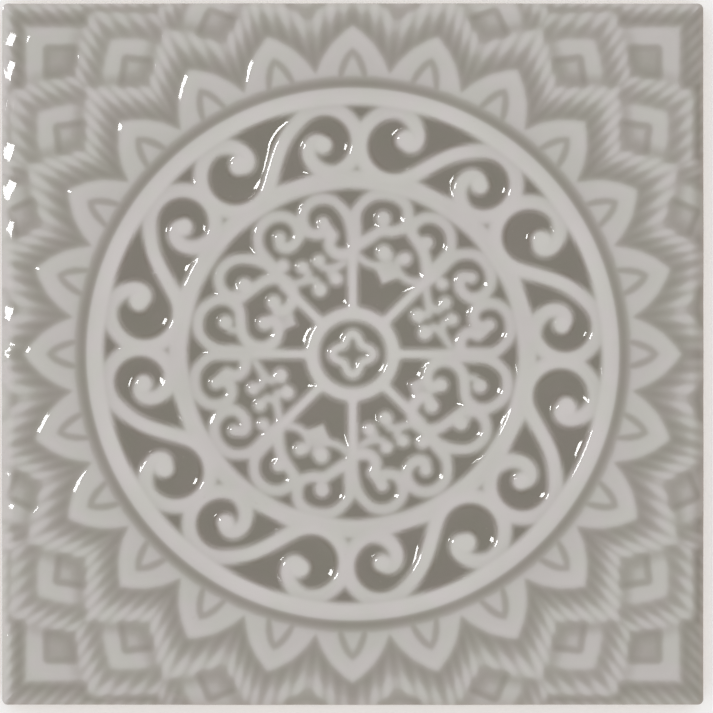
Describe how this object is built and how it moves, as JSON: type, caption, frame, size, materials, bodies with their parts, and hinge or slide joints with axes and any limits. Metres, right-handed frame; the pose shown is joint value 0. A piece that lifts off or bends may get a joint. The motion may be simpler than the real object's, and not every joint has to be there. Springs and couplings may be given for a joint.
{
  "type": "relief glazed tile",
  "caption": "Square glazed ceramic wall tile moulded in relief: a round medallion of lattice and running scrolls set in rows of overlapping petals and reeded leaves.",
  "frame": {"origin": "centre of the tile's back, in the plane that it rests on", "axes": "+Z out of the back through the glazed face, +X and +Y along the sides of the square; lattice compartments lie at 22.5 degrees from +X and every 45 degrees on"},
  "size_m": [0.148, 0.148, 0.0112],
  "materials": {
    "glaze": "glossy translucent pale grey glaze, lighter on the ridges and darker where it pools in the hollows; bare pale clay on the back and the lower edges"
  },
  "bodies": {
    "root": {"relief_tile": "glaze"}
  },
  "joints": []
}
